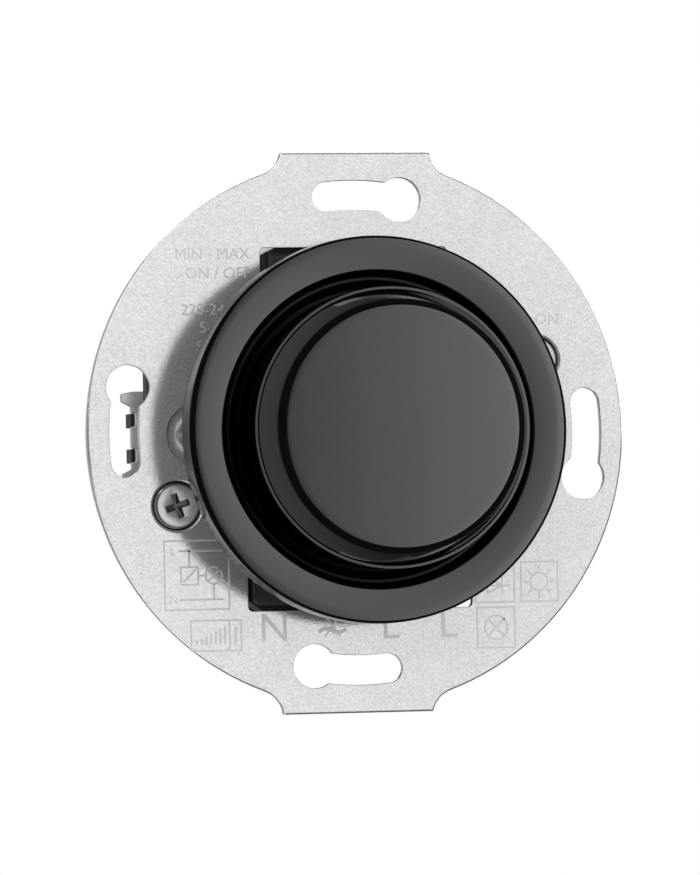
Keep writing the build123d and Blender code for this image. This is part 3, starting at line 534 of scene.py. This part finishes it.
# %% [markdown]
# The punch draws the sheet in where the two claw screws pass through it, so these holes have a broader
# rounded rim than the rest of the plate. Its edges are found by their distance from the screw's axis.

# %% Rims of the claw screw holes
screw_low, screw_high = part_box("right_claw_screw")
screw_middle = (screw_low + screw_high) / 2 / MM
SCREW_X, SCREW_Y = screw_middle.x, screw_middle.z
CLAW_HOLE, CLAW_HOLE_ROUND, CLAW_HOLE_STEPS = 3.1, 0.32, 4
TOUCH = 0.03


def on_claw_hole(vert):
    off_rim = min(abs((vert.co - plate_point(side * SCREW_X, side * SCREW_Y)).xz.length / MM - CLAW_HOLE)
                  for side in (-1, 1))
    return off_rim < TOUCH and vert.co.y < (TOUCH - PLATE_FRONT) * MM


def round_claw_holes(bm):
    rims = [edge for edge in bm.edges if all(on_claw_hole(vert) for vert in edge.verts)]
    round_edges(bm, rims, CLAW_HOLE_ROUND, CLAW_HOLE_STEPS)
    print("rounded", len(rims), "edges of the claw screw holes")


print("claw screws at", round(SCREW_X, 2), round(SCREW_Y, 2))

# %% [markdown]
# Each piece has its own edge: broad on the moulded housing, narrow on small stampings and screws. Weighted
# normals keep the large faces flat beside these bevels, so that reflections don't bend near an edge.

# %% Plate, housing, claws and small fasteners
SOFT_SMOOTH = 50
EDGE_WIDTHS = {
    "mounting_plate": 0.08, "housing_front": 0.10, "housing_base": 0.15, "terminal_block": 0.10,
    "left_claw": 0.08, "right_claw": 0.08, "plate_screws": 0.05, "terminal_clamps": 0.05,
    "terminal_screws": 0.05,
}
behaviour = frame["record"]["behaviour"]
body_of = {node: body for body, members in behaviour["bodies"].items() for node in members}
for node, width in EDGE_WIDTHS.items():
    bm = merged_copy(node)
    if node == "mounting_plate":
        round_claw_holes(bm)
    soften(bm, width)
    piece = finish_piece(f"soft_{node}", bm, body_of[node], slot_of[node], [node], smooth_angle=SOFT_SMOOTH)
    piece.modifiers.new("even_faces", "WEIGHTED_NORMAL").keep_sharp = True

# %% [markdown]
# The return spring lies inside the push switch. A coil that kept its length would be run through when the
# knob is pushed. Here the coil is a merged copy of the CAD mesh, and it gets a mesh of its own.

# %% Return spring
spring = finish_piece("coil_return_spring", merged_copy("return_spring"), body_of["return_spring"],
                      slot_of["return_spring"], ["return_spring"], smooth_angle=SOFT_SMOOTH)
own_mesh(spring)

# %% [markdown]
# ## Claw screws
# The head with its cross recess comes from the CAD mesh, cut off below the head. Its recess has a flat floor
# there, and a real one ends in a point, so the floor is poked: it becomes a low pyramid that points down.
# The faces of the recess take a second, darker material, which paints in the shade of the recess.

# %% Screw head with a pointed recess
HEAD_SEAT, HEAD_DEPTH, HEAD_EDGE = -PLATE_FRONT, 1.2, 0.025
HEAD_CUT = HEAD_SEAT - HEAD_DEPTH
RECESS_POINT, RECESS_RADIUS, RECESS_START, RECESS_MIDDLE = 1.0, 1.75, 0.1, 0.3
FACING_FRONT = -0.99


def screw_head(node, axis):
    def reach(face):
        return (face.calc_center_median() - axis).xz.length / MM

    bm = merged_copy(node)
    cut = bmesh.ops.bisect_plane(bm, geom=bm.verts[:] + bm.edges[:] + bm.faces[:], dist=SAME_PLACE,
                                 plane_co=plate_point(0, 0, HEAD_CUT), plane_no=(0, 1, 0), clear_outer=True)
    rim = [item for item in cut["geom_cut"] if isinstance(item, bmesh.types.BMEdge)]
    bmesh.ops.holes_fill(bm, edges=rim, sides=0)
    soften(bm, HEAD_EDGE)
    bm.normal_update()
    on_axis = [face for face in bm.faces if face.normal.y < FACING_FRONT and reach(face) < RECESS_MIDDLE]
    recess_floor = max(on_axis, key=lambda face: face.calc_center_median().y)
    bmesh.ops.poke(bm, faces=[recess_floor], offset=-RECESS_POINT * MM, center_mode="MEAN")
    # Faces deep in the recess take the second material, a darker steel that paints in the shade there
    painted_shade_y = min(vert.co.y for vert in bm.verts) + RECESS_START * MM
    for face in bm.faces:
        if face.calc_center_median().y > painted_shade_y and reach(face) < RECESS_RADIUS:
            face.material_index = 1
    return bm


# %% [markdown]
# The shank is a core with a plain neck under the head. The thread is real: the section of one tooth is spun
# many times round the screw while it moves along it. A bump would do for a distant view, but the threads
# show from the back and against the light.

# %% Shank and thread
SCREW_TIP = front_height(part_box("left_claw_screw")[1])
SCREW_RADIUS, SCREW_CORE, SHANK_SIDES = 1.5, 1.22, 32
NECK_DEPTH, THREAD_PITCH, STEPS_PER_TURN = 3.0, 0.7, 24
THREAD_START = HEAD_SEAT - NECK_DEPTH
THREAD_ROOT, ROOT_HALF, CREST_HALF = SCREW_CORE - 0.1, 0.46, 0.08
TOOTH = ((THREAD_ROOT, -ROOT_HALF), (SCREW_RADIUS, -CREST_HALF), (SCREW_RADIUS, CREST_HALF),
         (THREAD_ROOT, ROOT_HALF))


def add_rod(bm, x, y, radius, low, high):
    place = (Matrix.Translation(plate_point(x, y, (low + high) / 2))
             @ Matrix.Rotation(math.pi / 2, 4, "X"))
    bmesh.ops.create_cone(bm, cap_ends=True, segments=SHANK_SIDES, radius1=radius * MM, radius2=radius * MM,
                          depth=(high - low) * MM, matrix=place)


def add_thread(bm, x, y):
    turns = int((THREAD_START - SCREW_TIP) / THREAD_PITCH) - 1
    start = THREAD_START - THREAD_PITCH / 2
    tooth = bm.faces.new([bm.verts.new(plate_point(x + radius, y, start + share * THREAD_PITCH))
                          for radius, share in TOOTH])
    bmesh.ops.spin(bm, geom=[tooth], cent=plate_point(x, y), axis=(0, 1, 0),
                   dvec=(0, THREAD_PITCH * MM / STEPS_PER_TURN, 0), angle=2 * math.pi * turns,
                   steps=turns * STEPS_PER_TURN)


print("screw tip", round(SCREW_TIP, 2), "mm from the plate's front")

# %% [markdown]
# Both screws are now put together from these parts. Each rides on a body of its own, because it turns by
# itself. The two sides differ only in the sign of their place.

# %% Threaded claw screws
SCREW_SMOOTH = 40
for side, sign in (("left", -1), ("right", 1)):
    node = f"{side}_claw_screw"
    x, y = sign * SCREW_X, sign * SCREW_Y
    bm = screw_head(node, plate_point(x, y))
    add_rod(bm, x, y, SCREW_CORE, SCREW_TIP, HEAD_CUT)
    add_rod(bm, x, y, SCREW_RADIUS, THREAD_START, HEAD_CUT)
    add_thread(bm, x, y)
    bmesh.ops.recalc_face_normals(bm, faces=bm.faces)
    screw = finish_piece(f"threaded_{node}", bm, node, "screw_steel", [node], smooth_angle=SCREW_SMOOTH)
    # The second material is the painted shade of the recess
    screw.data.materials.append(materials["painted_shade_steel"])

# %% [markdown]
# ## Marks on the plate
# The marks are burned into the zinc: a matt grey that is darker than the lit metal, and lighter than it
# where the metal lies in shade. Letters are text made into a mesh, and signs are thin bars. All are a few
# hundredths of a millimetre thick and lie on the plate's front, so they stay put from any side. Each new
# bar lies a thousandth of a millimetre higher than the last, and the eighth starts again, so that no two
# faces coincide.

# %% Letters and bars
MARK_THICKNESS, MARK_SINK = 0.02, 0.006
MARK_LEVEL = PLATE_FRONT + MARK_THICKNESS / 2 - MARK_SINK
STAGGER, STAGGER_COUNT = 0.001, 7
LINE = 0.22
CAPITAL_SHARE, LETTER_STEPS = 0.69, 3
lay_on_plate = Matrix.Scale(MM, 4) @ plate_to_frame.to_4x4()


def lettering(bm, words, height, x, y, align="CENTER"):
    text = bpy.data.curves.new("letters", "FONT")
    text.body, text.align_x, text.size = words, align, height / CAPITAL_SHARE
    text.extrude, text.resolution_u = MARK_THICKNESS / 2, LETTER_STEPS
    holder = bpy.data.objects.new("letters", text)
    letters = bpy.data.meshes.new_from_object(holder)
    letters.transform(lay_on_plate @ Matrix.Translation((x, y, MARK_LEVEL)))
    bm.from_mesh(letters)
    bpy.data.objects.remove(holder)
    bpy.data.curves.remove(text)
    bpy.data.meshes.remove(letters)


def bar(bm, start, end, width=LINE):
    first, last = Vector((*start, 0)), Vector((*end, 0))
    run = last - first
    lift = STAGGER * (len(bm.verts) % STAGGER_COUNT)
    middle = (first + last) / 2 + Vector((0, 0, MARK_LEVEL + lift))
    place = (lay_on_plate @ Matrix.Translation(middle) @ Matrix.Rotation(math.atan2(run.y, run.x), 4, "Z")
             @ Matrix.Diagonal((run.length + width, width, MARK_THICKNESS, 1)))
    bmesh.ops.create_cube(bm, size=1.0, matrix=place)


def frame_box(bm, low, high):
    corners = [low, (high[0], low[1]), high, (low[0], high[1])]
    for start, end in zip(corners, corners[1:] + corners[:1]):
        bar(bm, start, end)


def cross(bm, low, high):
    (left, bottom), (right, top) = low, high
    bar(bm, (left, bottom), (right, top))
    bar(bm, (left, top), (right, bottom))


def finish_marks(name, bm):
    finish_piece(name, bm, "housing", "zinc_sheet", material="plate_mark")


# %% [markdown]
# Along the bottom stand the names of the four terminals, at the pitch of the clamps: neutral, the dimmed
# output as a crossed wave, and the live wire twice.

# %% Names of the four wires
TERMINAL_PITCH, TERMINAL_BASE, TERMINAL_HEIGHT = 7.5, -26.1, 3.5
WAVE_HEIGHT, WAVE_DROP = 4.6, 0.6
CROSS_HALF, CROSS_LOW, CROSS_HIGH = 0.9, 0.5, 3.0
bm = bmesh.new()
for step, letter in ((-1.5, "N"), (0.5, "L"), (1.5, "L")):
    lettering(bm, letter, TERMINAL_HEIGHT, step * TERMINAL_PITCH, TERMINAL_BASE)
wave_x = -0.5 * TERMINAL_PITCH
lettering(bm, "~", WAVE_HEIGHT, wave_x, TERMINAL_BASE - WAVE_DROP)
cross(bm, (wave_x - CROSS_HALF, TERMINAL_BASE + CROSS_LOW), (wave_x + CROSS_HALF, TERMINAL_BASE + CROSS_HIGH))
finish_marks("terminal_marks", bm)

# %% [markdown]
# The upper left holds what the dimmer does and the loads it takes, in plain words and numbers. The lines are
# set to the right, so each one gives only the height of its base line.

# %% Rating and switching marks
TEXT_HEIGHT, TEXT_RIGHT = 1.38, -13.4
TEXT_LINES = (("MIN - MAX", 22.05), ("ON / OFF", 19.63), ("220-240V~", 15.07), ("5-100W", 12.8),
              ("5-100VA", 10.45))
ON_HEIGHT, ON_X, ON_BASE = 1.42, 25.08, 13.42
bm = bmesh.new()
for words, base in TEXT_LINES:
    lettering(bm, words, TEXT_HEIGHT, TEXT_RIGHT, base, align="RIGHT")
lettering(bm, "ON", ON_HEIGHT, ON_X, ON_BASE)
finish_marks("rating_marks", bm)

# %% [markdown]
# The lower half carries boxed signs for the lamps that the dimmer can drive: a lamp with rays, the crossed
# circle that stands for any lamp, and a diode for light-emitting diodes. A ring of short bars is simpler
# here than a curve, because every mark then comes from one operator.

# %% Shapes of the lamp signs
RING_STEPS = 24
RAYS, RAY_START, RAY_END = 8, 0.35, 0.85
LEAD_REACH, ARROW_LOW, ARROW_HIGH, ARROW_RUN, ARROW_PITCH = 1.9, 1.3, 1.9, 0.6, 0.8


def ring(bm, x, y, radius):
    corners = [(x + radius * math.cos(turn), y + radius * math.sin(turn))
               for turn in (2 * math.pi * step / RING_STEPS for step in range(RING_STEPS + 1))]
    for start, end in zip(corners, corners[1:]):
        bar(bm, start, end)


def crossed_lamp(bm, x, y, radius):
    ring(bm, x, y, radius)
    reach = radius * math.sqrt(0.5)
    cross(bm, (x - reach, y - reach), (x + reach, y + reach))


def lamp_with_rays(bm, x, y, radius):
    ring(bm, x, y, radius)
    centre = Vector((x, y))
    for step in range(RAYS):
        turn = 2 * math.pi * step / RAYS
        way = Vector((math.cos(turn), math.sin(turn)))
        bar(bm, centre + way * (radius + RAY_START), centre + way * (radius + RAY_END))


def diode(bm, x, y, size):
    tip, high, low = (x + size, y), (x - size, y + size), (x - size, y - size)
    for start, end in ((tip, high), (high, low), (low, tip)):
        bar(bm, start, end)
    bar(bm, (x + size, y - size), (x + size, y + size))
    bar(bm, (x - LEAD_REACH * size, y), (x + LEAD_REACH * size, y))
    for shift in (0.0, ARROW_PITCH * size):
        arrow_x = x + shift
        bar(bm, (arrow_x, y + ARROW_LOW * size), (arrow_x + ARROW_RUN * size, y + ARROW_HIGH * size))


# %% [markdown]
# Three boxes stand to the right of the terminal names, each with one sign. A box is given by its lower left
# and upper right corner, in plate coordinates.

# %% Boxed lamp signs
RAYS_BOX, RAYS_CENTRE, RAYS_RADIUS = ((20.95, -21.8), (25.75, -16.78)), (23.3, -19.3), 1.15
LAMP_BOX, LAMP_CENTRE, LAMP_RADIUS = ((15.1, -27.55), (20.0, -22.45)), (17.55, -25.0), 1.5
DIODE_BOX, DIODE_CENTRE, DIODE_SIZE = ((14.9, -21.8), (20.05, -16.78)), (17.5, -19.7), 0.95
bm = bmesh.new()
frame_box(bm, *RAYS_BOX)
lamp_with_rays(bm, *RAYS_CENTRE, RAYS_RADIUS)
frame_box(bm, *LAMP_BOX)
crossed_lamp(bm, *LAMP_CENTRE, LAMP_RADIUS)
frame_box(bm, *DIODE_BOX)
diode(bm, *DIODE_CENTRE, DIODE_SIZE)
finish_marks("lamp_marks", bm)

# %% [markdown]
# A wedge of growing bars stands for dimming. A line parts it from one bar of its own, the level that is set.

# %% Dimming wedge
WEDGE_BOX = ((-21.95, -27.15), (-15.5, -23.35))
WEDGE_LEFT, WEDGE_LOW, WEDGE_STEPS, WEDGE_PITCH = -21.2, -26.2, 7, 0.6
WEDGE_FIRST, WEDGE_GROWTH, WEDGE_BAR = 0.25, 0.27, 0.3
DIVIDER_X, LEVEL_X, LEVEL_TOP = -17.0, -16.25, -24.3
bm = bmesh.new()
frame_box(bm, *WEDGE_BOX)
for step in range(WEDGE_STEPS):
    x = WEDGE_LEFT + WEDGE_PITCH * step
    bar(bm, (x, WEDGE_LOW), (x, WEDGE_LOW + WEDGE_FIRST + WEDGE_GROWTH * step), WEDGE_BAR)
bar(bm, (DIVIDER_X, WEDGE_BOX[0][1]), (DIVIDER_X, WEDGE_BOX[1][1]))
bar(bm, (LEVEL_X, WEDGE_LOW), (LEVEL_X, LEVEL_TOP), WEDGE_BAR)
finish_marks("wedge_marks", bm)

# %% [markdown]
# A small wiring diagram sits in the lower left: the live wire goes through the dimmer to the lamp, and on
# to the neutral wire. It is drawn from the same bars and rings, as on any installation device.

# %% Wiring diagram
DIAGRAM_BOX, WIRE = ((-25.2, -21.95), (-16.95, -13.3)), 0.25
LIVE_Y, NEUTRAL_Y, WIRE_LEFT, WIRE_RIGHT = -14.6, -20.7, -23.2, -17.8
NAME_X, NAME_HEIGHT = -24.1, 0.9
DIMMER_X, DIMMER_HALF, SLASH_HALF = -22.0, 1.1, 0.7
LOAD_X, LOAD_RADIUS, MIDDLE_Y = -18.9, 1.05, -17.7
bm = bmesh.new()
frame_box(bm, *DIAGRAM_BOX)
for words, y in (("L", LIVE_Y), ("N", NEUTRAL_Y)):
    lettering(bm, words, NAME_HEIGHT, NAME_X, y - NAME_HEIGHT / 2)
    bar(bm, (WIRE_LEFT, y), (WIRE_RIGHT, y), WIRE)
bar(bm, (DIMMER_X, LIVE_Y), (DIMMER_X, MIDDLE_Y + DIMMER_HALF), WIRE)
frame_box(bm, (DIMMER_X - DIMMER_HALF, MIDDLE_Y - DIMMER_HALF),
          (DIMMER_X + DIMMER_HALF, MIDDLE_Y + DIMMER_HALF))
bar(bm, (DIMMER_X - SLASH_HALF, MIDDLE_Y - SLASH_HALF), (DIMMER_X + SLASH_HALF, MIDDLE_Y + SLASH_HALF), WIRE)
bar(bm, (DIMMER_X + DIMMER_HALF, MIDDLE_Y), (LOAD_X - LOAD_RADIUS, MIDDLE_Y), WIRE)
crossed_lamp(bm, LOAD_X, MIDDLE_Y, LOAD_RADIUS)
bar(bm, (LOAD_X, MIDDLE_Y - LOAD_RADIUS), (LOAD_X, NEUTRAL_Y), WIRE)
finish_marks("diagram_marks", bm)

# %% [markdown]
# ## Floor and light
# The picture shows the part on pure white. A plain white floor lies below it and glows as brightly as the
# surround, so no horizon shows. It is clear from below, and it neither lights the part nor shows in it.

# %% White floor
FLOOR_Z, FLOOR_HALF = -0.06, 6.0
bm = bmesh.new()
bmesh.ops.create_grid(bm, x_segments=1, y_segments=1, size=FLOOR_HALF,
                      matrix=Matrix.Translation((0, 0, FLOOR_Z)))
floor_mesh = bpy.data.meshes.new("white_floor")
bm.to_mesh(floor_mesh)
bm.free()
floor = bpy.data.objects.new("white_floor", floor_mesh)
bpy.context.collection.objects.link(floor)
floor.visible_glossy = False
floor.visible_diffuse = False
floor_material = bpy.data.materials.new("white_floor")
floor_material.use_nodes = True
tree = floor_material.node_tree
tree.nodes.clear()
glow = add_node(tree, "ShaderNodeEmission", {"Color": colour(1.0), "Strength": 1.0})
clear = add_node(tree, "ShaderNodeBsdfTransparent")
below = tree.nodes.new("ShaderNodeNewGeometry").outputs["Backfacing"]
either = add_node(tree, "ShaderNodeMixShader", {0: below, 1: glow.outputs[0], 2: clear.outputs[0]})
add_node(tree, "ShaderNodeOutputMaterial", {0: either.outputs[0]})
floor_mesh.materials.append(floor_material)
floor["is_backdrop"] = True
print("floor at", FLOOR_Z)

# %% [markdown]
# The camera sees a white surround. For everything else the surround is dark, so that the rounded edges of
# the black gloss stay black, as they do in a real studio. Only behind the part, to the left, does it grow
# lighter: the slanted shoulder of the knob mirrors that side, and so does the wall of the disc.

# %% White surround
BEHIND_LEFT = (-0.6, 0.8, 0.0)
LIGHTER_ZONE, SURROUND = (0.4, 0.95), (0.06, 0.45)
world = bpy.data.worlds.new("studio")
bpy.context.scene.world = world
world.use_nodes = True
tree = world.node_tree
tree.nodes.clear()
direction = tree.nodes.new("ShaderNodeTexCoord").outputs["Generated"]
facing = add_node(tree, "ShaderNodeVectorMath", {0: direction, 1: BEHIND_LEFT},
                  operation="DOT_PRODUCT").outputs["Value"]
strength = map_range(tree, facing, source=LIGHTER_ZONE, target=SURROUND, interpolation_type="SMOOTHSTEP")
surround = add_node(tree, "ShaderNodeBackground", {"Color": colour(1.0), "Strength": strength})
backdrop = add_node(tree, "ShaderNodeBackground", {"Color": colour(1.0), "Strength": 1.0})
seen = tree.nodes.new("ShaderNodeLightPath").outputs["Is Camera Ray"]
either = add_node(tree, "ShaderNodeMixShader", {0: seen, 1: surround.outputs[0], 2: backdrop.outputs[0]})
add_node(tree, "ShaderNodeOutputWorld", {0: either.outputs[0]})
bpy.context.scene.view_settings.view_transform = "Standard"
print("world", world.name)

# %% [markdown]
# Zinc, small steel parts and black gloss want different light, so light linking keeps their lamps apart.
# A collection lists the pieces that a panel lights, or those that can shade others from it.

# %% Groups of pieces for the lights
gloss_pieces = bpy.data.collections.new("gloss_pieces")
steel_pieces = bpy.data.collections.new("steel_pieces")
other_pieces = bpy.data.collections.new("other_pieces")
body_pieces = bpy.data.collections.new("body_pieces")
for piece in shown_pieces():
    if piece in (disc, knob):
        gloss_pieces.objects.link(piece)
        continue
    body_pieces.objects.link(piece)
    small_steel = "claw" in piece.name or "plate_screws" in piece.name
    (steel_pieces if small_steel else other_pieces).objects.link(piece)

# %% [markdown]
# Each light is a large soft panel. Its strength is given as the brightness that a mirror would show, and is
# turned into watts by the panel's area. A ramp can make one side of a panel brighter than the other.

# %% Panel maker
def studio_panel(name, way, reach, size, radiance, receivers, blockers=None, ramp=None):
    data = bpy.data.lights.new(name, "AREA")
    data.shape, data.size, data.size_y = "RECTANGLE", *size
    data.energy = radiance * math.pi * size[0] * size[1]
    panel = bpy.data.objects.new(name, data)
    way = Vector(way).normalized()
    panel.matrix_world = Matrix.Translation(way * reach) @ way.to_track_quat("Z", "Y").to_matrix().to_4x4()
    panel.visible_camera = False
    panel.light_linking.receiver_collection = receivers
    if blockers:
        panel.light_linking.blocker_collection = blockers
    bpy.context.collection.objects.link(panel)
    if ramp:
        data.use_nodes = True
        tree = data.node_tree
        on_panel = tree.nodes.new("ShaderNodeNewGeometry").outputs["Parametric"]
        across = add_node(tree, "ShaderNodeSeparateXYZ", {0: on_panel}).outputs["X"]
        tree.links.new(map_range(tree, across, target=ramp), tree.nodes["Emission"].inputs["Strength"])


# %% [markdown]
# The zinc mirrors one large white panel from the right, and the dark crescent beside the disc is the disc's
# own reflection in it. Two fills from the left, above and below, lift the plate's grain. The small steel
# parts get a panel of their own, and only they can shade each other from it. The gloss shows a tall panel
# that grows brighter to one side. The last two light the housing for views from the back and the side.

# %% Studio lights
studio_panel("plate_panel", way=(0.48, -0.88, 0.02), reach=1.2, size=(1.1, 1.8), radiance=1.02,
             receivers=other_pieces)
for name, rise in (("upper_fill", 0.62), ("lower_fill", -0.62)):
    studio_panel(name, way=(-0.5, -0.6, rise), reach=1.2, size=(1.5, 1.5), radiance=1.3,
                 receivers=other_pieces)
studio_panel("steel_panel", way=(0.2, -0.98, 0.02), reach=1.2, size=(1.4, 1.4), radiance=1.05,
             receivers=steel_pieces, blockers=steel_pieces)
studio_panel("gloss_panel", way=(0.26, -0.96, 0.04), reach=1.0, size=(0.42, 0.9), radiance=2.65,
             receivers=gloss_pieces, ramp=(0.3, 1.5))
studio_panel("rear_panel", way=(0.4, 0.75, 0.55), reach=1.2, size=(1.2, 1.2), radiance=2.4,
             receivers=body_pieces)
studio_panel("side_panel", way=(0.85, 0.4, 0.35), reach=1.2, size=(0.9, 0.9), radiance=1.8,
             receivers=body_pieces)
print("lights", len(bpy.data.lights))
